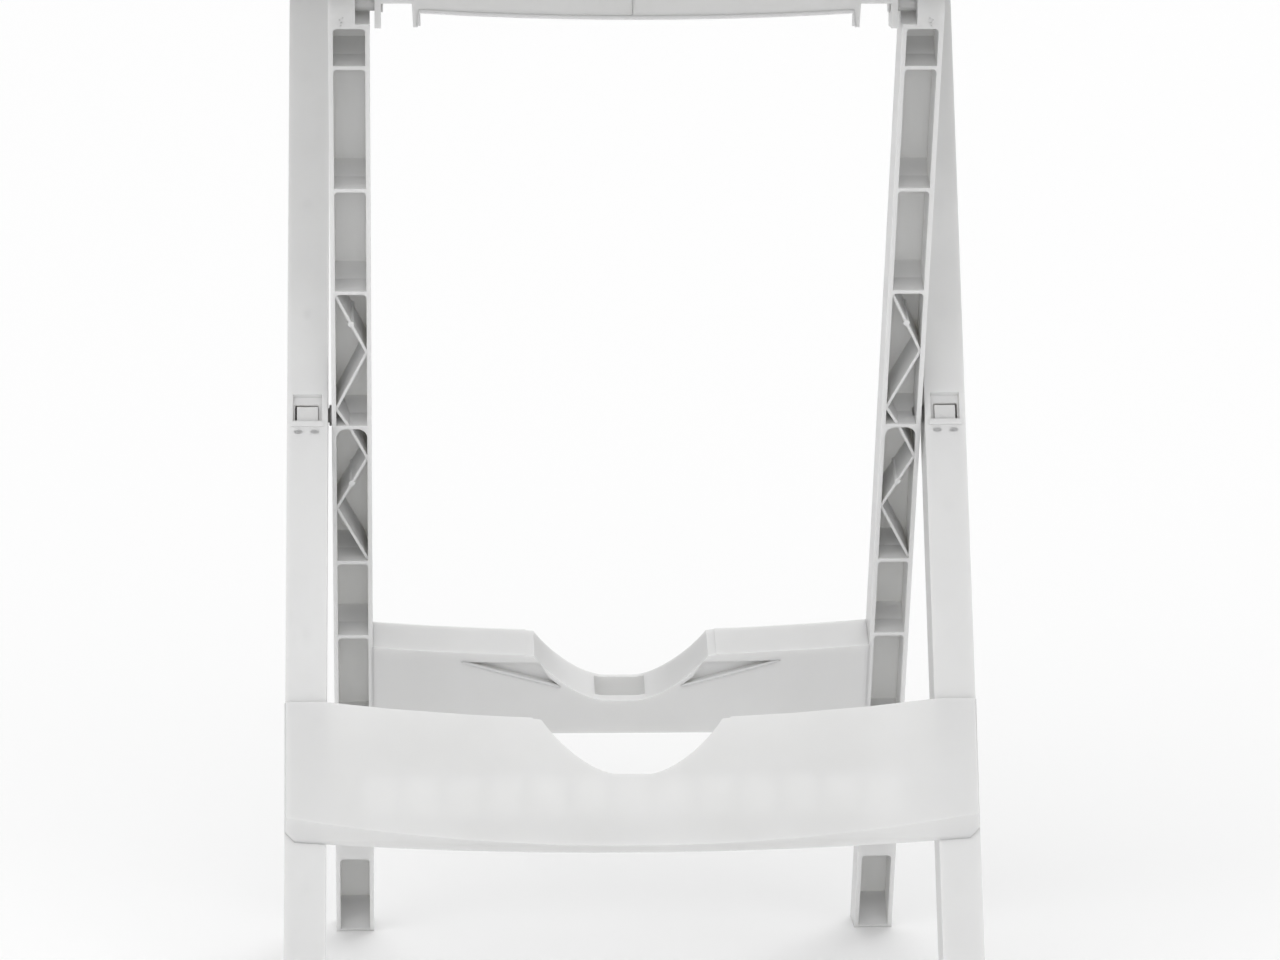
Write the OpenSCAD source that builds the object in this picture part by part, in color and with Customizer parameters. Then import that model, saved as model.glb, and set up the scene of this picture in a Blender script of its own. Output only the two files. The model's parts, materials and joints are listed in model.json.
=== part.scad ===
// Small folding stand with crossed resin legs. The outer frame and the inner frame
// cross on two moulded pivots, and a slatted top hinges on the inner frame's front
// ends and rests on a rail between the outer frame's rear ends.
// Millimetres, +Z up, -Y is the front. The origin is on the floor under the centre.
// x runs across the stand. In a frame's own space z runs up the leg from the pivot
// and y runs through the leg's depth.

/* [Frames] */
// Lean of each leg from the vertical, degrees
lean = 23; // [22:0.5:24]
// Height of the pivot axis above the floor
pivot_z = 286; // [284:1:290]
// Outer width of the outer frame at the pivot
frame_w = 330; // [326:1:334]
// Width of an outer leg's smooth face
outer_leg_w = 19.8; // [19.4:0.1:20.2]
// Width of an inner leg
inner_leg_w = 19.4; // [19:0.1:19.8]
// Depth of the outer legs
outer_t = 24; // [23.6:0.1:24.4]
// Depth of the inner legs
inner_t = 23; // [22:0.1:23]
// Side gap between an inner and an outer leg at the pivot
side_gap = 1.8; // [1.6:0.1:2.2]
// Outward splay of the outer legs, degrees
splay = 0.35; // [0:0.05:0.4]
// Thickness of the moulded side walls
wall = 2.2; // [1.8:0.1:2.6]
// Thickness of the cross ribs
rib = 1.8; // [1.4:0.1:2.4]

/* [Crossbars] */
// Distance from the pivot down to the front bar's upper corners
bar_top = 145; // [143:1:147]
// Distance from the pivot down to the middle of the front bar's lower edge
bar_bottom = 216.7; // [214:0.5:220]
// How far the front bar stands proud along its lower edge
bar_proud = 8; // [6:0.5:9]
// Depth of the hand notch in both bars
notch_depth = 27; // [22:1:27]
// Distance from the pivot down to the rear bar's upper corners
rear_top = 129; // [127:1:132]
// Distance from the pivot down to the rear bar's lower edge
rear_bottom = 182; // [180:1:186]

/* [Top] */
// Width of the top
top_w = 396; // [380:2:420]
// Depth of the top, front to back
top_d = 372; // [360:2:390]
// Height of the top's surface above the floor
top_z = 526; // [526:1:532]
// Height of the rim
rim_h = 20; // [16:0.5:20]
// Corner radius of the top
corner_r = 30; // [20:1:40]
// Thickness of the top's skin
skin = 3; // [2.5:0.1:3.2]
// Width of the drain slots
slot_w = 4; // [3:0.1:4]

/* [Pivots] */
// Radius of the moulded pivot stubs
stub_r = 3.5; // [3:0.1:3.8]
// Radius of the hinge pins under the top
pin_r = 3; // [2.5:0.1:3.2]
// Radial running clearance of both
run_gap = 0.08; // [0.05:0.01:0.1]
// Distance from the pivot up to the top's hinge
hinge_up = 225; // [224:0.5:226]

/* [Hidden] */

WHITE = "whitesmoke";
SHELL = "gainsboro";
FIT = 0.02;                 // clearance of a pin fixed in its own hole
CUT = 1;                    // how far a cutter runs past a face
$fn = 64;

outer_half = frame_w / 2;
outer_inside = outer_half - outer_leg_w;
inner_half = outer_inside - side_gap;
inner_inside = inner_half - inner_leg_w;
outer_mid = outer_half - outer_leg_w / 2;
inner_mid = inner_half - inner_leg_w / 2;
leg_run = pivot_z / cos(lean) + outer_t;    // drawn past the floor, then cut on it

hinge_y = -hinge_up * sin(lean);
hinge_z = pivot_z + hinge_up * cos(lean);
skin_z = top_z - skin;
rim_z = top_z - rim_h;

// Cross ribs of a leg, as distances below the pivot
inner_ribs = [-219, -197.6, -132, -75.7, 0, 78.4, 122.6, rear_bottom, 259];
outer_ribs = [-208, -132, -75.7, -20, 20, 78.4, bar_top, 210, 259];
foot_floor = 304.2;         // where the last pocket ends
foot_lift = 6.2;            // rise of the foot pocket's floor towards the web
pocket_r = 2;               // radius of a pocket's upper corners
arch_r = 5;                 // the same below the pivot rib
bridge_h = 9;               // solid stretch above the foot pocket
fillet_up = 5;              // sloping fill between a rib's upper side and the web
fillet_out = 10;
slot_beside = 6.8;          // slot beside the knuckle at the top of the leg

// Zigzag ribs of an inner leg: [share of the pocket's width, distance below pivot]
zigzag = [[0, -74], [1, -42], [0, -10], [0.45, 1], [1, 18], [0, 47], [1, 77]];
zigzag_t = 1.3;
ejector_r = 1.5;

// Pivot window in the outer leg's smooth face, with a sloping upper step
window_w = 14;
window_up = 7.6;
window_down = 5.6;
step_foot = 6.4;            // where the upper step's slope ends, above the pivot
boss_h = 18;                // solid block behind the window
boss_back = 6;
clip_w = 10.2;
clip_front_top = 1.5;       // top of the clip's face, above the pivot
clip_back_top = 5.4;        // top of the clip around the stub
clip_step = 6;              // how far in front of the pivot the clip steps up
clip_gap = 0.9;             // slot beside and above the clip
clip_recess = 1;            // clip's face below the leg's face
stub_head_r = 4.6;
stub_head_t = 1.4;
lip_w = 16;                 // lip under the window
lip_h = 2.4;
lip_t = 0.8;

// Front bar, as distances down from its upper corners
bar_overhang = 1.2;         // past the outer legs' sides
bar_top_proud = 2.5;        // how far the face stands proud along its upper edge
bar_face_end = 57;          // the face's lower edge at the ends
bar_back_end = 67.3;        // the bevel's lower edge at the ends
bar_back_drop = 1.9;        // the bevel's height in the middle
bar_sag = 9.4;              // dip of the upper edge
notch_top_half = 43.5;      // the hand notch's half width at its upper corners
notch_round = 18.5;         // how much of it the rounding takes by the bottom
notch_slope = 18;         // how much the slanted sides take
bar_corner = 3.4;           // cut off the lower corners
core_w = 17.6;              // coring in the thick lower half
core_h = 20;
core_depth = 3.6;
core_pitch = 20;

// Rear bar, as distances down from its upper corners
rear_sag = 6;
rear_face_t = 4.5;          // thickness of the front wall
rear_solid = 31;            // solid down to here, hollow below
// Wedge set back in the front wall beside the notch: [from the middle, height]
ledge = [[80, -9.2], [41, -9.8], [36, -19], [30, -24.5]];
ledge_depth = 3.2;

// Rail across the outer frame's upper ends
outer_end = 223;            // centre of the leg's rounded end above the pivot
rail_back = 18.5;           // behind the leg's centre line
rail_up = 226.2;
rail_r = 6.5;
rail_y = rail_up * sin(lean) + rail_back * cos(lean);
rail_z = pivot_z + rail_up * cos(lean) - rail_back * sin(lean);
rail_ear_r = 8.3;

// Front edge of the top: apron, tabs and hinge ears
apron_y = hinge_y - 9;
apron_t = 2.5;
apron_half = 101;
apron_low = 3;              // the apron's lower edge below the hinge, at its ends
apron_sag = 3;
tab_x = 104.5;
tab_w = 3;
tab_low = 10;               // the tabs' lower end below the hinge
tab_taper = 0.6;
gusset_depth = 9;
recess_up = 1;              // lower edge between tab and ear, above the hinge
ear_in = 118.8;
ear_out = 121.8;
ear_low = 10.5;
ear_depth = 16;
pin_head = 0.8;             // how far the hinge pin's head stands out around it
hook_x = 95;
hook_w = 12;
hook_depth = 14;
hook_low = 7;
hook_gap = 0.3;             // clear of the rear rail

// Underside and slots of the top
panel_rib_x = [-120, -60, 60, 120];
panel_rib_t = 2.2;
panel_rib_h = 2.4;
panel_rib_from = -70;
panel_rib_to = 102;
slot_pitch = 30;
slot_rows = 10;
slot_margin = 46;           // from the top's edge to the slots
slot_middle = 6;            // half of the solid strip in the middle

// Places the children of a frame's own space in the stand
module in_outer() { translate([0, 0, pivot_z]) rotate([-lean, 0, 0]) children(); }
module in_inner() { translate([0, 0, pivot_z]) rotate([lean, 0, 0]) children(); }

// Cuts the feet flat on the floor
module on_floor() {
    difference() {
        children();
        translate([-frame_w, -frame_w, -100]) cube([2 * frame_w, 2 * frame_w, 100]);
    }
}

// Round bar along x, centred on x = mid
module x_bar(r, length, mid) {
    translate([mid - length / 2, 0, 0]) rotate([0, 90, 0]) cylinder(h = length, r = r);
}

// Outline of a pocket with rounded upper corners, its lower edge on z = 0
module pocket_outline(width, tall, r) {
    translate([-width / 2, 0]) square([width, tall - r]);
    translate([-width / 2 + r, 0]) square([width - 2 * r, tall]);
    for (side = [-1, 1]) translate([side * (width / 2 - r), tall - r]) circle(r);
}

// Pockets between a list of ribs. face is -1 where the channel opens to the front.
module pockets(ribs, width, depth, face, last) {
    count = len(ribs);
    for (i = [0 : count - 1]) {
        upper = -ribs[i] - rib / 2;
        lower = i == count - 1 ? -last : -ribs[i + 1] + rib / 2;
        corner_r = ribs[i] == 0 ? arch_r : pocket_r;
        translate([0, 0, lower])
            upright(face < 0 ? -depth / 2 - CUT : -depth / 2 + wall, depth - wall + CUT)
                pocket_outline(width, upper - lower, corner_r);
    }
}

// Upright plate from an outline drawn in x and z, its front on y = front
module upright(front, thick) {
    translate([0, front + thick, 0]) rotate([90, 0, 0]) linear_extrude(thick) children();
}

// Bar along x from a profile drawn in y and z
module along_x(length) {
    translate([-length / 2, 0, 0]) rotate([90, 0, 90]) linear_extrude(length) children();
}

// Rib of one thickness between two points of the leg's face, full pocket depth
module web_rib(from, to) {
    run = to - from;
    translate([from[0], -inner_t / 2 + 1, from[1]])
        rotate([0, -atan2(run[1], run[0]), 0])
            translate([0, 0, -zigzag_t / 2])
                cube([norm(run), inner_t - wall, zigzag_t]);
}

function zig_point(p) = [(p[0] - 0.5) * (inner_leg_w - 2 * wall), -p[1]];

// Inner leg with its channel open to the front, side is -1 left and 1 right
module inner_leg(side) {
    bore_x = side * (inner_half - wall / 2);
    on_floor() in_inner() difference() {
        union() {
            translate([side * inner_mid, 0, 0]) {
                difference() {
                    union() {
                        translate([-inner_leg_w / 2, -inner_t / 2, -leg_run])
                            cube([inner_leg_w, inner_t, leg_run + hinge_up]);
                        translate([0, 0, hinge_up]) x_bar(inner_t / 2, inner_leg_w, 0);
                    }
                    pockets(inner_ribs, inner_leg_w - 2 * wall, inner_t, -1, foot_floor);
                }
                intersection() {
                    for (i = [0 : len(zigzag) - 2])
                        web_rib(zig_point(zigzag[i]), zig_point(zigzag[i + 1]));
                    translate([-inner_leg_w / 2 + CUT, -inner_t / 2 + 1, -100])
                        cube([inner_leg_w - 2 * CUT, inner_t - 2, 200]);
                }
                for (i = [0, 4]) {
                    mid = (zig_point(zigzag[i]) + zig_point(zigzag[i + 1])) / 2;
                    translate([mid[0], -inner_t / 2 + 0.6, mid[1]]) rotate([-90, 0, 0])
                        cylinder(h = inner_t - 1.6, r = ejector_r, $fn = 24);
                }
                for (height = inner_ribs)
                    along_x(inner_leg_w - 2 * CUT) polygon([
                        [inner_t / 2 - wall - fillet_out, -height],
                        [inner_t / 2 - wall, -height + rib / 2 + fillet_up],
                        [inner_t / 2 - CUT, -height + rib / 2 + fillet_up], [inner_t / 2 - CUT, -height]]);
                // solid stretch above the foot pocket
                translate([-inner_leg_w / 2 + CUT, -inner_t / 2, -inner_ribs[len(inner_ribs) - 1]])
                    cube([inner_leg_w - 2 * CUT, inner_t - CUT, bridge_h]);
                // floor of the foot pocket, rising towards the web
                along_x(inner_leg_w - 2 * CUT) polygon([
                    [-inner_t / 2 + CUT, -foot_floor - CUT], [-inner_t / 2 + CUT, -foot_floor],
                    [inner_t / 2 - wall, -foot_floor + foot_lift],
                    [inner_t / 2 - CUT, -foot_floor + foot_lift], [inner_t / 2 - CUT, -foot_floor - CUT]]);
            }
        }
        // slot beside the knuckle
        translate([side > 0 ? inner_inside - CUT : -inner_inside - slot_beside, -inner_t, hinge_up - 4.5])
            cube([slot_beside + CUT, 2 * inner_t, 20]);
        translate([0, 0, hinge_up]) x_bar(pin_r + run_gap, 16, side * (inner_half - 6.5));
        x_bar(stub_r + FIT, wall + 2 * CUT, bore_x);
    }
}

// Space for the clip and the stub's head in the block behind the window
module clip_space(side) {
    inner_side = clip_w / 2 + 0.2;
    outer_side = clip_w / 2 + clip_gap;
    head_side = outer_leg_w / 2 - wall;
    low = -window_down;
    translate([side > 0 ? -inner_side : -outer_side, -outer_t / 2 - CUT, low])
        cube([inner_side + outer_side, outer_t / 2 + CUT - clip_step, clip_front_top + clip_gap - low]);
    translate([side > 0 ? -inner_side : -head_side, -clip_step - 0.2, low])
        cube([inner_side + head_side, clip_step + boss_back + CUT, clip_back_top + 0.2 - low]);
}

// Outer leg with its smooth face to the front and its channel open to the back
module outer_leg(side) {
    on_floor() in_outer() difference() {
        translate([side * outer_mid, 0, 0]) rotate([0, side * -splay, 0]) {
            difference() {
                translate([-outer_leg_w / 2, -outer_t / 2, -leg_run])
                    cube([outer_leg_w, outer_t, leg_run + outer_end]);
                difference() {
                    pockets(outer_ribs, outer_leg_w - 2 * wall, outer_t, 1, foot_floor);
                    // solid block behind the window
                    translate([-outer_leg_w / 2, -outer_t / 2, -boss_h / 2])
                        cube([outer_leg_w, outer_t / 2 + boss_back, boss_h]);
                }
                along_x(window_w) polygon([
                    [-outer_t / 2 - CUT, -window_down], [-outer_t / 2 + wall, -window_down],
                    [-outer_t / 2 + wall, step_foot],
                    [-outer_t / 2 - CUT, window_up + (window_up - step_foot) * CUT / wall]]);
                clip_space(side);
            }
            // rounded end with the ear that carries the rail
            hull() {
                translate([0, 0, outer_end]) x_bar(outer_t / 2, outer_leg_w, 0, $fn = 32);
                translate([0, rail_back, rail_up]) x_bar(rail_ear_r, outer_leg_w, 0, $fn = 32);
            }
            // lip under the window
            translate([-lip_w / 2, -outer_t / 2 - lip_t + 0.1, -window_down - lip_h - 0.6])
                cube([lip_w, lip_t, lip_h]);
        }
        x_bar(stub_r + run_gap, 2 * wall + 4 * CUT, side * (outer_inside + wall));
    }
}

// Half width of the hand notch at a share of its depth, 0 at the top
function notch_half(q) = notch_top_half - notch_round * (1 - sqrt(1 - q * q)) - notch_slope * q;

// Outline of the hand notch, its upper corners on z = 0
module notch_outline(depth) {
    steps = 14;
    corner = notch_top_half + 4;
    polygon(concat(
        [[-corner, 20], [-corner, 0.5]],
        [for (i = [0 : steps]) let (q = sin(90 * i / steps)) [-notch_half(q), -q * depth]],
        [for (i = [steps : -1 : 0]) let (q = sin(90 * i / steps)) [notch_half(q), -q * depth]],
        [[corner, 0.5], [corner, 20]]));
}

// Space above a bar's sagging upper edge, with the notch
module bar_top_cut(half, sag) {
    steps = 16;
    polygon(concat(
        [[-half - 5, 40]],
        [for (i = [0 : steps]) let (x = (2 * i / steps - 1) * (half + 5))
            [x, -sag * (1 - pow(x / half, 2))]],
        [[half + 5, 40]]));
    translate([0, -sag]) notch_outline(notch_depth);
}

// Outline of the front bar with an arched lower edge
module front_outline(half, lower_end, lower_mid) {
    steps = 16;
    polygon(concat(
        [[half, -bar_top], [-half, -bar_top]],
        [for (i = [0 : steps]) let (u = 2 * i / steps - 1)
            [u * half, -lower_mid + (lower_mid - lower_end) * u * u]]));
}

// Front bar: a wedge that stands proud of the legs along its lower edge
module front_bar() {
    half = outer_half + bar_overhang;
    back = -outer_t / 2;
    tilt = atan2(bar_proud - bar_top_proud, bar_bottom - bar_top);
    plate = 0.2;
    in_outer() difference() {
        hull() {
            translate([0, back - bar_top_proud, -bar_top]) rotate([-tilt, 0, 0])
                translate([0, 0, bar_top]) upright(0, plate)
                    front_outline(half - 1, bar_top + bar_face_end, bar_bottom);
            upright(back - plate, plate)
                front_outline(half, bar_top + bar_back_end, bar_bottom + bar_back_drop);
        }
        translate([0, 0, -bar_top]) upright(back - 30, 60)
            bar_top_cut(outer_half - outer_leg_w + 2, bar_sag);
        for (side = [-1, 1])
            translate([side * half, back - 30, -bar_top - bar_back_end]) rotate([0, 45, 0])
                translate([-bar_corner, 0, -bar_corner]) cube([2 * bar_corner, 60, 2 * bar_corner]);
        for (i = [-6 : 6])
            translate([i * core_pitch - core_w / 2, back - core_depth, -bar_top - bar_face_end])
                cube([core_w, core_depth + CUT, core_h]);
    }
}

// Rear bar: smooth web at the back, flanges to the front, sagging upper edge
module rear_bar() {
    half = inner_inside;
    tall = rear_bottom - rear_top;
    in_inner() translate([0, 0, -rear_top]) difference() {
        upright(-inner_t / 2, inner_t) translate([-half, -tall]) square([2 * half, tall]);
        upright(-inner_t, 2 * inner_t) bar_top_cut(half, rear_sag);
        // front wall set back under the top flange, beside the notch
        for (side = [-1, 1])
            upright(-inner_t / 2 - CUT, ledge_depth + CUT)
                polygon([for (point = ledge) [side * point[0], point[1]]]);
        // hollow, open downwards
        upright(-inner_t / 2 + rear_face_t, inner_t - rear_face_t - wall)
            translate([-half + wall, -tall - CUT]) square([2 * half - 2 * wall, tall - rear_solid]);
    }
}

// Rail across the outer frame's rear ends
module top_rail() {
    length = 2 * (outer_inside - rail_up * tan(splay)) - 0.1;
    in_outer() translate([0, rail_back, rail_up]) x_bar(rail_r, length, 0);
}

// Clip around the pivot stub, its face seen through the window
module pivot_clip(side) {
    low = -window_down + 0.1;
    front = -outer_t / 2 + clip_recess;
    in_outer() difference() {
        translate([side * outer_mid - clip_w / 2, 0, 0]) {
            translate([0, front, low]) cube([clip_w, -clip_step - front, clip_front_top - low]);
            translate([0, -clip_step, low]) cube([clip_w, clip_step + boss_back, clip_back_top - low]);
        }
        x_bar(stub_r + run_gap, 2 * clip_w, side * outer_mid);
    }
}

// Stub moulded to the inner leg's side, with a head past the clip
module pivot_stub(side) {
    inner_end = inner_half - wall;
    head_x = outer_mid + clip_w / 2 + 0.2;
    collar = side_gap - 0.6;
    in_inner() {
        x_bar(stub_r, head_x + stub_head_t - inner_end, side * (head_x + stub_head_t + inner_end) / 2);
        x_bar(stub_head_r, stub_head_t, side * (head_x + stub_head_t / 2));
        x_bar(stub_r + 1.6, collar, side * (inner_half + collar / 2));
    }
}

// Rounded rectangle centred on the origin
module rounded_rect(w, d, r) {
    square([w - 2 * r, d], center = true);
    square([w, d - 2 * r], center = true);
    for (x = [-1, 1], y = [-1, 1])
        translate([x * (w / 2 - r), y * (d / 2 - r)]) circle(r);
}

// Slatted skin with a rim and low ribs underneath
module panel() {
    slot_half = top_w / 2 - slot_margin;
    difference() {
        union() {
            translate([0, 0, skin_z]) linear_extrude(skin) rounded_rect(top_w, top_d, corner_r);
            translate([0, 0, rim_z]) linear_extrude(rim_h) difference() {
                rounded_rect(top_w, top_d, corner_r);
                rounded_rect(top_w - 2 * skin, top_d - 2 * skin, corner_r - skin);
            }
            for (x = panel_rib_x)
                translate([x - panel_rib_t / 2, panel_rib_from, skin_z - panel_rib_h])
                    cube([panel_rib_t, panel_rib_to - panel_rib_from, panel_rib_h + 0.1]);
        }
        for (row = [0 : slot_rows - 1], side = [-1, 1]) {
            slot_y = (row - (slot_rows - 1) / 2) * slot_pitch;
            translate([side > 0 ? slot_middle : -slot_half, slot_y - slot_w / 2, skin_z - 5])
                cube([slot_half - slot_middle, slot_w, skin + 10]);
        }
    }
}

// Moulded rail under the front of the top: apron, tabs and hinge ears
module front_hinge_rail() {
    steps = 12;
    low_end = hinge_z - apron_low;
    recess_z = hinge_z + recess_up;
    tab_z = hinge_z - tab_low;
    tab_foot = tab_x - tab_w + 0.2;
    upright(apron_y, apron_t) polygon(concat(
        [[-ear_out, skin_z], [-ear_out, recess_z], [-tab_x, recess_z]],
        [[-tab_x + tab_taper, tab_z], [-tab_foot, tab_z], [-apron_half, low_end]],
        [for (i = [1 : steps - 1]) let (u = 2 * i / steps - 1)
            [u * apron_half, low_end - apron_sag * (1 - u * u)]],
        [[apron_half, low_end], [tab_foot, tab_z], [tab_x - tab_taper, tab_z]],
        [[tab_x, recess_z], [ear_out, recess_z], [ear_out, skin_z]]));
    translate([-ear_out, apron_y, skin_z - wall]) cube([2 * ear_out, ear_depth, wall]);
    for (side = [-1, 1]) {
        difference() {
            translate([side > 0 ? ear_in : -ear_out, apron_y, hinge_z - ear_low])
                cube([ear_out - ear_in, ear_depth, skin_z - hinge_z + ear_low]);
            translate([0, hinge_y, hinge_z]) x_bar(pin_r + FIT, 10, side * (ear_in + 2));
        }
        // gusset behind each tab
        translate([side > 0 ? tab_x - tab_w : -tab_x, apron_y, recess_z])
            cube([tab_w, gusset_depth, skin_z - recess_z]);
    }
}

// Pin through an ear of the top and the knuckle of an inner leg
module hinge_pin(side) {
    head_t = 1;
    start = ear_in - head_t;
    end = inner_half - 0.6;
    translate([0, hinge_y, hinge_z]) {
        x_bar(pin_r, end - start, side * (start + end) / 2);
        x_bar(pin_r + pin_head, head_t, side * (start + head_t / 2));
    }
}

// Hook under the rear of the top, resting on the rail from above and behind
module rail_hook(side) {
    front = rail_y + 2.5;
    difference() {
        translate([side * hook_x - hook_w / 2, front, rail_z - hook_low])
            cube([hook_w, hook_depth, skin_z - rail_z + hook_low]);
        translate([0, rail_y, rail_z]) x_bar(rail_r + hook_gap, 2 * hook_w, side * hook_x);
    }
}

module left_outer_leg() { color(WHITE) outer_leg(-1); }
module right_outer_leg() { color(WHITE) outer_leg(1); }
module front_crossbar() { color(WHITE) front_bar(); }
module rear_top_rail() { color(WHITE) top_rail(); }
module left_pivot_clip() { color(SHELL) pivot_clip(-1); }
module right_pivot_clip() { color(SHELL) pivot_clip(1); }
module left_inner_leg() { color(WHITE) inner_leg(-1); }
module right_inner_leg() { color(WHITE) inner_leg(1); }
module rear_crossbar() { color(WHITE) rear_bar(); }
module left_pivot_stub() { color(SHELL) pivot_stub(-1); }
module right_pivot_stub() { color(SHELL) pivot_stub(1); }
module top_panel() { color(WHITE) panel(); }
module hinge_rail() { color(WHITE) front_hinge_rail(); }
module left_hinge_pin() { color(SHELL) hinge_pin(-1); }
module right_hinge_pin() { color(SHELL) hinge_pin(1); }
module left_rail_hook() { color(WHITE) rail_hook(-1); }
module right_rail_hook() { color(WHITE) rail_hook(1); }

left_outer_leg();
right_outer_leg();
front_crossbar();
rear_top_rail();
left_pivot_clip();
right_pivot_clip();
left_inner_leg();
right_inner_leg();
rear_crossbar();
left_pivot_stub();
right_pivot_stub();
top_panel();
hinge_rail();
left_hinge_pin();
right_hinge_pin();
left_rail_hook();
right_rail_hook();
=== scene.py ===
import json
import math

import bmesh
import bpy
from mathutils import Matrix, Vector


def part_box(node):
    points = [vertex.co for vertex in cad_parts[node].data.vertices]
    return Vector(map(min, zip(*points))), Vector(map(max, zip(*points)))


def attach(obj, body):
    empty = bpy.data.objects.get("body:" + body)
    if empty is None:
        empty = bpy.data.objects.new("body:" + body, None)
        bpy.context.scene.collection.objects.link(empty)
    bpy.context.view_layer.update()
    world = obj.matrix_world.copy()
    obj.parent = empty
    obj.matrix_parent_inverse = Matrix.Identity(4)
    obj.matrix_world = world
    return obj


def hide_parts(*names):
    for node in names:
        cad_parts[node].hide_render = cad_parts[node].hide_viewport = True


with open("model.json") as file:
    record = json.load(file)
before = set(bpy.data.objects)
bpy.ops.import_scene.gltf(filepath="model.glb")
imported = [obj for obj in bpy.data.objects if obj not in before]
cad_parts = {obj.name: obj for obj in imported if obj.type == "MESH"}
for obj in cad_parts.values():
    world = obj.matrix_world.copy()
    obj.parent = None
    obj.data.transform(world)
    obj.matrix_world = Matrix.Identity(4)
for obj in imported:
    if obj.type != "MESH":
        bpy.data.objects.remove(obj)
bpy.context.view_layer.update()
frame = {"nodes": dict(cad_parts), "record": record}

MM = 0.001


# Places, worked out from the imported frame
joints = {joint["name"]: joint for joint in frame["record"]["behaviour"]["joints"]}
pivot = Vector(joints["leg_fold"]["pos_m"])
hinge = Vector(joints["top_lift"]["pos_m"])
lean = math.atan2(pivot.y - hinge.y, hinge.z - pivot.z)

outer_space = Matrix.Translation(pivot) @ Matrix.Rotation(-lean, 4, "X")
inner_space = Matrix.Translation(pivot) @ Matrix.Rotation(lean, 4, "X")

body_of_node = {}
for body_name, node_names in frame["record"]["behaviour"]["bodies"].items():
    for node_name in node_names:
        body_of_node[node_name] = body_name
slot_of_node = {part["node"]: part["material_slot"] for part in frame["record"]["subparts"]}


# Materials
SCATTER_RADIUS = (0.012, 0.012, 0.0115)
SHADE_REACH = 0.003          # how far from a corner the painted shade reaches
GLOSS_BELOW = 0.06            # how far the roughness strays to either side
GLOSS_ABOVE = 0.08
FLOW_HEIGHT = 0.0006
FLOW_STRETCH = (1.0, 0.35, 0.35)


def add(nodes, kind, place=(0, 0), **values):
    """A shader node with some of its inputs set by name."""
    node = nodes.new(kind)
    node.location = place
    for name, value in values.items():
        node.inputs[name.replace("_", " ")].default_value = value
    return node


def noise(tree, vector, place, **values):
    """The grey output of a noise texture on a vector."""
    node = add(tree.nodes, "ShaderNodeTexNoise", place, **values)
    tree.links.new(vector, node.inputs["Vector"])
    return node.outputs["Fac"]


def ramp(tree, grey, place, low, high):
    """The colour that a grey value picks between two stops, each a position and a colour."""
    node = add(tree.nodes, "ShaderNodeValToRGB", place)
    for stop, (position, colour) in zip(node.color_ramp.elements, (low, high)):
        stop.position = position
        stop.color = colour
    tree.links.new(grey, node.inputs["Fac"])
    return node.outputs["Color"]


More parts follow.
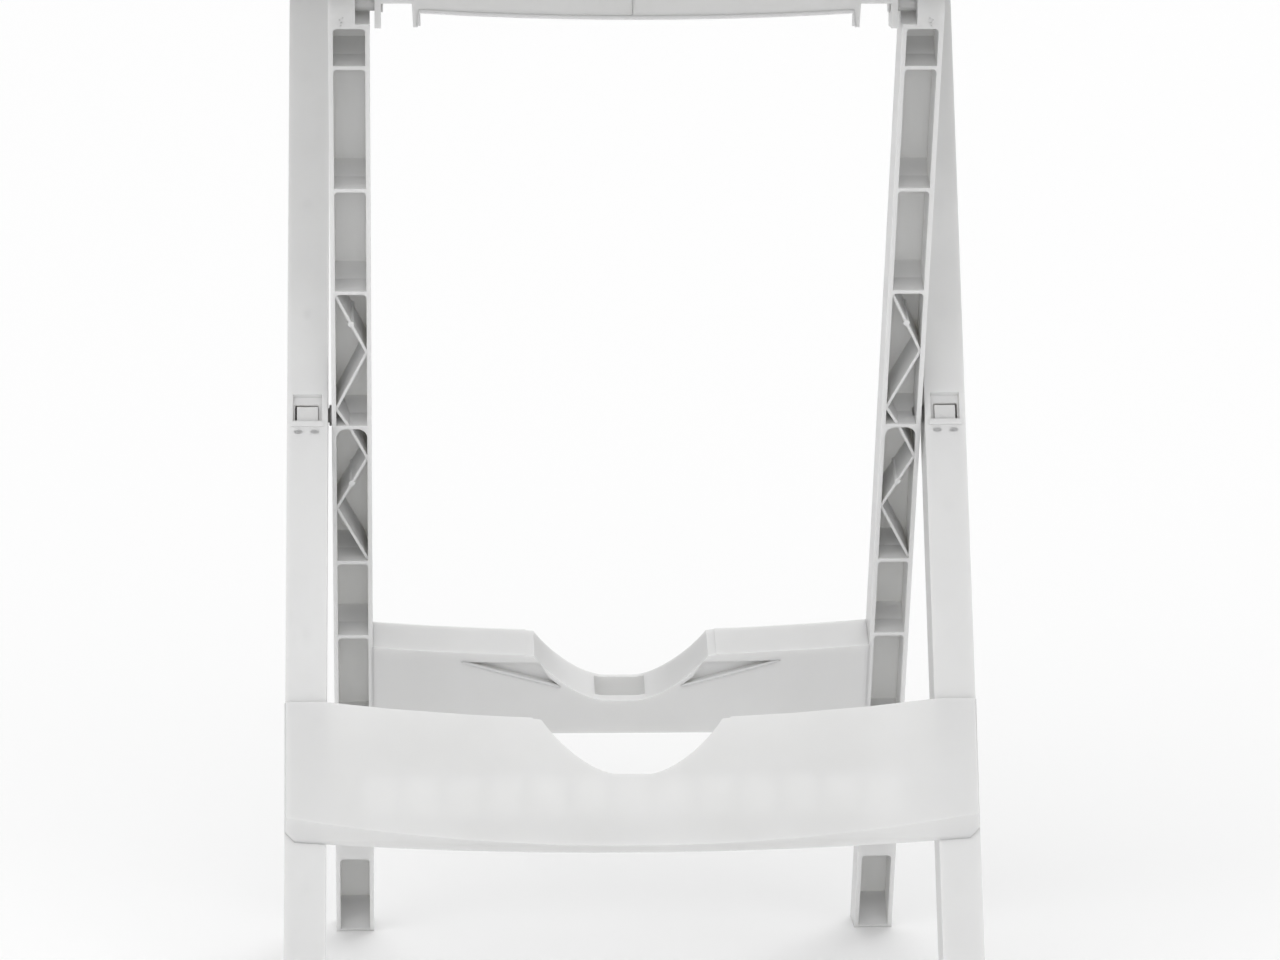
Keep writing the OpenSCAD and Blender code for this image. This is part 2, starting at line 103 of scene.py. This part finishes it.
def resin(name, light, dark, corner_shade, rough, grain_height):
    """White moulded resin: cloudy colour, uneven gloss, fine grain, faint flow marks and painted shade
    darkening its corners.
    """
    material = bpy.data.materials.new(name)
    material.use_nodes = True
    tree = material.node_tree
    nodes = tree.nodes
    links = tree.links
    shader = nodes["Principled BSDF"]
    shader.inputs["IOR"].default_value = 1.49
    shader.inputs["Subsurface Weight"].default_value = 0.6
    shader.inputs["Subsurface Radius"].default_value = SCATTER_RADIUS
    shader.inputs["Subsurface Scale"].default_value = 0.5
    place = add(nodes, "ShaderNodeTexCoord", (-1500, 0)).outputs["Object"]

    cloud = noise(tree, place, (-1200, 200), Scale=14.0, Detail=4.0, Roughness=0.55)
    tint = ramp(tree, cloud, (-950, 200), (0.32, dark), (0.68, light))

    # Painted shade: the colour darkens in corners and recesses found by ambient occlusion, more on some
    # patches than on others
    corner = add(nodes, "ShaderNodeAmbientOcclusion", (-950, -100), Distance=SHADE_REACH)
    corner.samples = 6
    shade_mask = ramp(tree, corner.outputs["AO"], (-700, -100), (0.15, (1, 1, 1, 1)), (0.6, (0, 0, 0, 1)))
    shade_noise = noise(tree, place, (-1200, -350), Scale=90.0, Detail=6.0, Roughness=0.7)
    patchy_shade = add(nodes, "ShaderNodeMath", (-700, -350))
    patchy_shade.operation = "MULTIPLY"
    links.new(shade_mask, patchy_shade.inputs[0])
    links.new(shade_noise, patchy_shade.inputs[1])
    shaded_tint = nodes.new("ShaderNodeMix")
    shaded_tint.data_type = "RGBA"
    shaded_tint.location = (-400, 150)
    # the colour of the painted shade in corners and recesses
    shaded_tint.inputs["B"].default_value = corner_shade
    links.new(patchy_shade.outputs["Value"], shaded_tint.inputs["Factor"])
    links.new(tint, shaded_tint.inputs["A"])
    links.new(shaded_tint.outputs["Result"], shader.inputs["Base Color"])

    # Gloss varies as handling and the mould's polish do
    polish = noise(tree, place, (-1200, -600), Scale=38.0, Detail=5.0, Roughness=0.6)
    gloss = add(
        nodes, "ShaderNodeMapRange", (-900, -600),
        From_Min=0.3, From_Max=0.7, To_Min=rough - GLOSS_BELOW, To_Max=rough + GLOSS_ABOVE,
    )
    links.new(polish, gloss.inputs["Value"])
    links.new(gloss.outputs["Result"], shader.inputs["Roughness"])

    # Fine grain over long faint flow marks
    grain = noise(tree, place, (-1200, -850), Scale=1400.0, Detail=3.0, Roughness=0.6)
    stretch = add(nodes, "ShaderNodeMapping", (-1350, -1100), Scale=FLOW_STRETCH)
    links.new(place, stretch.inputs["Vector"])
    flow = noise(tree, stretch.outputs["Vector"], (-1150, -1100), Scale=46.0, Detail=2.0, Distortion=0.6)
    grain_bump = add(nodes, "ShaderNodeBump", (-500, -900), Strength=0.35, Distance=grain_height)
    links.new(grain, grain_bump.inputs["Height"])
    flow_bump = add(nodes, "ShaderNodeBump", (-250, -900), Strength=0.22, Distance=FLOW_HEIGHT)
    links.new(flow, flow_bump.inputs["Height"])
    links.new(grain_bump.outputs["Normal"], flow_bump.inputs["Normal"])
    links.new(flow_bump.outputs["Normal"], shader.inputs["Normal"])
    return material


# Each finish's third colour is the painted shade laid into its corners
finishes = {
    "white_resin": resin(
        "white_resin", light=(0.72, 0.72, 0.718, 1), dark=(0.685, 0.685, 0.682, 1),
        corner_shade=(0.5, 0.49, 0.46, 1), rough=0.36, grain_height=0.00004,
    ),
    "pivot_resin": resin(
        "pivot_resin", light=(0.68, 0.68, 0.675, 1), dark=(0.64, 0.64, 0.635, 1),
        corner_shade=(0.45, 0.44, 0.41, 1), rough=0.3, grain_height=0.00003,
    ),
}


# Mesh tools
SHARP_DEG = 28                # edges that turn more than this are rounded
STEEP_DEG = 60                # and the top's outer edge turns more than this
EDGE_STEPS = 2
TOP_EDGE_STEPS = 5
TOP_EDGE_R = 2.6 * MM
TOP_HALF_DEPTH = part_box("top_panel")[1][1]
RIM_INSET = 0.035             # width of the band in which the top's outer edge is looked for
LEVEL_GAP = 0.05 * MM         # points this close in height are on one face


def in_scene(name, data):
    """A new object, linked to the scene."""
    made = bpy.data.objects.new(name, data)
    bpy.context.scene.collection.objects.link(made)
    return made


def mesh_object(name, build, node):
    """A new piece from a bmesh, with the finish of a CAD node and riding on its body."""
    mesh = bpy.data.meshes.new(name)
    build.to_mesh(mesh)
    build.free()
    piece = in_scene(name, mesh)
    mesh.materials.append(finishes[slot_of_node[node]])
    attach(piece, body_of_node[node])
    return piece


def clean(build):
    """Merges the triangles of flat faces, so that only real edges are left."""
    bmesh.ops.remove_doubles(build, verts=build.verts, dist=0.01 * MM)
    bmesh.ops.dissolve_limit(build, angle_limit=math.radians(1.0), verts=build.verts, edges=build.edges)


def round_edges(build, edges, radius, steps):
    """Rounds some edges of a closed mesh."""
    bmesh.ops.bevel(
        build, geom=edges, offset=radius, offset_type="OFFSET", segments=steps,
        profile=0.5, affect="EDGES", clamp_overlap=True,
    )


def soften(build, radius):
    """Rounds the hard edges of a closed mesh as a mould does."""
    hard = [
        edge for edge in build.edges
        if len(edge.link_faces) == 2 and edge.calc_face_angle(0) > math.radians(SHARP_DEG)
    ]
    round_edges(build, hard, radius, EDGE_STEPS)


def round_outer_edge(build):
    """Gives the table top's outer upper edge its large radius."""
    top = max(vert.co.z for vert in build.verts)
    reach = max(vert.co.x for vert in build.verts)

    def outside(vert):
        on_top = abs(vert.co.z - top) < LEVEL_GAP
        return on_top and max(abs(vert.co.x), abs(vert.co.y) + reach - TOP_HALF_DEPTH) > reach - RIM_INSET

    rim = [
        edge for edge in build.edges
        if all(outside(vert) for vert in edge.verts) and edge.calc_face_angle(0) > math.radians(STEEP_DEG)
    ]
    round_edges(build, rim, TOP_EDGE_R, TOP_EDGE_STEPS)


def even_shading(piece, angle_deg=40):
    """Smooth shading that keeps the flat faces flat."""
    for polygon in piece.data.polygons:
        polygon.use_smooth = True
    piece.data.set_sharp_from_angle(angle=math.radians(angle_deg))
    weighted = piece.modifiers.new("flat_faces", "WEIGHTED_NORMAL")
    weighted.keep_sharp = True


def moulded(node, radius):
    """A softened copy of a CAD node that stands for it."""
    build = bmesh.new()
    build.from_mesh(frame["nodes"][node].data)
    clean(build)
    if node == "top_panel":
        round_outer_edge(build)
    soften(build, radius)
    piece = mesh_object(node + "_moulding", build, node)
    even_shading(piece)
    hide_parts(node)


# The mouldings, each with the edge radius of its tool in mm
edge_radius = {
    "left_outer_leg": 0.7, "right_outer_leg": 0.7, "front_crossbar": 1.1, "rear_top_rail": 0.5,
    "left_pivot_clip": 0.4, "right_pivot_clip": 0.4, "left_inner_leg": 0.45, "right_inner_leg": 0.45,
    "rear_crossbar": 0.8, "left_pivot_stub": 0.3, "right_pivot_stub": 0.3, "top_panel": 0.9,
    "hinge_rail": 0.5, "left_hinge_pin": 0.35, "right_hinge_pin": 0.35,
    "left_rail_hook": 0.6, "right_rail_hook": 0.6,
}
for node_name, radius_mm in edge_radius.items():
    moulded(node_name, radius_mm * MM)


# Small marks that the mould leaves
DISC_SLOPE = 0.82             # a disc's upper radius as a share of its lower one
BEAD_SHADING_DEG = 50


def disc(build, place, axis, radius, height, sides=20, flatten=1.0):
    """A low round nub with a sloping rim, half sunk in a face and pointing along axis."""
    turn = Vector(axis).to_track_quat("Z", "Y").to_matrix().to_4x4()
    squeeze = Matrix.Diagonal((1, flatten, 1, 1))
    bmesh.ops.create_cone(
        build, cap_ends=True, segments=sides, radius1=radius, radius2=radius * DISC_SLOPE,
        depth=height, matrix=Matrix.Translation(place) @ turn @ squeeze,
    )


def tube(build, points, radius, sides=10):
    """A closed round bead along a line of points."""
    rings = []
    for index, point in enumerate(points):
        before = points[max(index - 1, 0)]
        after = points[min(index + 1, len(points) - 1)]
        turn = (after - before).to_track_quat("Z", "X").to_matrix()
        ring = []
        for side in range(sides):
            angle = 2 * math.pi * side / sides
            offset = Vector((math.cos(angle) * radius, math.sin(angle) * radius, 0))
            ring.append(build.verts.new(point + turn @ offset))
        rings.append(ring)
    for lower, upper in zip(rings, rings[1:]):
        for side in range(sides):
            following = (side + 1) % sides
            build.faces.new((lower[side], lower[following], upper[following], upper[side]))
    build.faces.new(list(reversed(rings[0])))
    build.faces.new(rings[-1])
    bmesh.ops.recalc_face_normals(build, faces=build.faces)


def middle_x(node):
    low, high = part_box(node)
    return (low[0] + high[0]) / 2


def to_front(space):
    """The direction out of a leg's front face."""
    return space.to_3x3() @ Vector((0, -1, 0))


# Depths and heights in the legs' own spaces, from the mid lines at the pivot
INNER_WEB_FRONT = 9.3 * MM
INNER_FACE = -0.0113
OUTER_FACE = -12.0 * MM
OUTER_WEB_BACK = -9.8 * MM
OUTER_EJECTOR_HEIGHTS = (0.170, 0.104, 0.048, -0.049, -0.112, -0.178, -0.235, -0.282)
EJECTOR_R = 2.4 * MM
EJECTOR_H = 0.3 * MM
WINDOW_MARK_OFFSETS = (-4.2 * MM, 3.8 * MM)
WINDOW_MARK_HEIGHT = -0.0112
WINDOW_MARK_R = 2.3 * MM
WINDOW_MARK_H = 0.16 * MM
FOOT_GATE_OFFSETS = (-0.7 * MM, 0.7 * MM)
FOOT_GATE_HEIGHT = -0.272
FOOT_GATE_R = 0.5 * MM
FOOT_GATE_H = 1.6 * MM

# Scraps of flash: millimetres across, metres above the pivot, radius in millimetres
FLASH_SCRAPS = ((0, 0.2212, 0.7), (0.9, 0.2226, 0.5), (-0.6, 0.2237, 0.45), (0.3, 0.2197, 0.4))
FLASH_FROM_EDGE = 0.0132
FLASH_H = 1.0 * MM

# The apron's bead and parting line
APRON_HALF = 0.102
APRON_FRONT_GAP = 0.1 * MM
BEAD_BACK = 0.9 * MM
BEAD_UP = 0.7 * MM
BEAD_R = 1.3 * MM
SEAM_X = -2.0 * MM
SEAM_FROM = 0.0004
SEAM_TO = 0.022
SEAM_R = 0.25 * MM

# Ends of a ledge, as distance from the middle and height above the pivot
LEDGE_OUTER = (79.0 * MM, -138.4 * MM)
LEDGE_INNER = (30.5 * MM, -153.6 * MM)
LEDGE_FRONT = -11.0 * MM
LEDGE_DIP = 0.3 * MM
LEDGE_R = 0.9 * MM
LEDGE_STEPS = 8


def inner_marks(node):
    """The gate mark on the web of an inner leg, in its foot pocket."""
    build = bmesh.new()
    x = middle_x(node)
    for offset in FOOT_GATE_OFFSETS:
        place = inner_space @ Vector((x + offset, INNER_WEB_FRONT, FOOT_GATE_HEIGHT))
        disc(build, place, to_front(inner_space), FOOT_GATE_R, FOOT_GATE_H, sides=10)
    even_shading(mesh_object(node + "_mould_marks", build, node))


def outer_marks(node):
    """Ejector marks in an outer leg's open back and two slightly raised marks below its window."""
    build = bmesh.new()
    x = middle_x(node)
    for height in OUTER_EJECTOR_HEIGHTS:
        place = outer_space @ Vector((x, OUTER_WEB_BACK, height))
        disc(build, place, -to_front(outer_space), EJECTOR_R, EJECTOR_H)
    for offset in WINDOW_MARK_OFFSETS:
        place = outer_space @ Vector((x + offset, OUTER_FACE, WINDOW_MARK_HEIGHT))
        disc(build, place, to_front(outer_space), WINDOW_MARK_R, WINDOW_MARK_H, flatten=0.5)
    even_shading(mesh_object(node + "_mould_marks", build, node))


def apron_bead():
    """The rounded bead along the apron's curved lower edge, and its parting line."""
    mesh = frame["nodes"]["hinge_rail"].data
    front = min(vert.co.y for vert in mesh.vertices)
    lowest = {}
    for vert in mesh.vertices:
        on_front = vert.co.y < front + APRON_FRONT_GAP
        if on_front and abs(vert.co.x) < APRON_HALF and vert.co.z < hinge.z:
            key = round(vert.co.x, 4)
            lowest[key] = min(lowest.get(key, 1), vert.co.z)
    line = [Vector((x, front + BEAD_BACK, lowest[x] + BEAD_UP)) for x in sorted(lowest)]
    build = bmesh.new()
    tube(build, line, BEAD_R)
    even_shading(mesh_object("apron_bead", build, "hinge_rail"), BEAD_SHADING_DEG)

    low_middle = lowest[min(lowest, key=abs)]
    seam = [Vector((SEAM_X, front, low_middle + height)) for height in (SEAM_FROM, SEAM_TO)]
    build = bmesh.new()
    tube(build, seam, SEAM_R, sides=8)
    even_shading(mesh_object("apron_parting_line", build, "hinge_rail"), BEAD_SHADING_DEG)


def hinge_flash(node, side):
    """Scraps of flash beside the knuckle's slot."""
    build = bmesh.new()
    edge_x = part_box(node)[1][0] - FLASH_FROM_EDGE if side < 0 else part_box(node)[0][0] + FLASH_FROM_EDGE
    for across, height, radius in FLASH_SCRAPS:
        place = inner_space @ Vector((edge_x + side * across * MM, INNER_FACE, height))
        disc(build, place, to_front(inner_space), radius * MM, FLASH_H, sides=8)
    even_shading(mesh_object(node + "_flash", build, node))


def wedge_ledges():
    """The rounded ledges under the two set-back wedges on the rear bar's face."""
    build = bmesh.new()
    for side in (-1, 1):
        line = []
        for step in range(LEDGE_STEPS + 1):
            share = step / LEDGE_STEPS
            across = LEDGE_OUTER[0] + (LEDGE_INNER[0] - LEDGE_OUTER[0]) * share
            height = LEDGE_OUTER[1] + (LEDGE_INNER[1] - LEDGE_OUTER[1]) * share
            dip = LEDGE_DIP * math.sin(math.pi * share)
            line.append(inner_space @ Vector((side * across, LEDGE_FRONT, height - dip)))
        tube(build, line, LEDGE_R)
    even_shading(mesh_object("rear_crossbar_ledges", build, "rear_crossbar"), BEAD_SHADING_DEG)


wedge_ledges()
for node_name in ("left_inner_leg", "right_inner_leg"):
    inner_marks(node_name)
    hinge_flash(node_name, -1 if node_name.startswith("left") else 1)
for node_name in ("left_outer_leg", "right_outer_leg"):
    outer_marks(node_name)
apron_bead()


# Camera, in front of the stand, a little to its left and looking slightly down on it
PITCH_DEG = 9.53
YAW_DEG = 2.705
ROLL_DEG = -0.22
camera_data = bpy.data.cameras.new("camera")
camera_data.sensor_width = 36
camera_data.lens = 154.7
camera_data.clip_end = 50
camera = in_scene("camera", camera_data)
camera.location = (-0.120, -2.651, 0.699)
camera.rotation_euler = (math.radians(90 - PITCH_DEG), math.radians(ROLL_DEG), math.radians(-YAW_DEG))
bpy.context.scene.camera = camera


# Floor and light
def stage_floor():
    """A plain pale floor."""
    build = bmesh.new()
    bmesh.ops.create_grid(build, x_segments=1, y_segments=1, size=12)
    mesh = bpy.data.meshes.new("floor")
    build.to_mesh(mesh)
    build.free()
    floor = in_scene("floor", mesh)
    material = bpy.data.materials.new("floor_paint")
    material.use_nodes = True
    shader = material.node_tree.nodes["Principled BSDF"]
    shader.inputs["Base Color"].default_value = (0.97, 0.97, 0.97, 1)
    shader.inputs["Roughness"].default_value = 0.9
    mesh.materials.append(material)


def studio_light(name, direction, strength, spread_deg):
    """A very wide, even light that shines from a direction."""
    data = bpy.data.lights.new(name, "SUN")
    data.energy = strength
    data.angle = math.radians(spread_deg)
    in_scene(name, data).rotation_euler = Vector(direction).to_track_quat("Z", "Y").to_euler()


stage_floor()
studio_light("key", (-0.22, -0.7, 0.72), 1.0, 80)
studio_light("front", (-0.1, -0.96, 0.25), 0.5, 90)
studio_light("back", (0.2, 0.75, 0.66), 1.15, 60)
world = bpy.data.worlds.new("studio")
world.use_nodes = True
background = world.node_tree.nodes["Background"]
background.inputs["Color"].default_value = (1, 1, 1, 1)
background.inputs["Strength"].default_value = 0.5
bpy.context.scene.world = world
bpy.context.scene.view_settings.view_transform = "Standard"
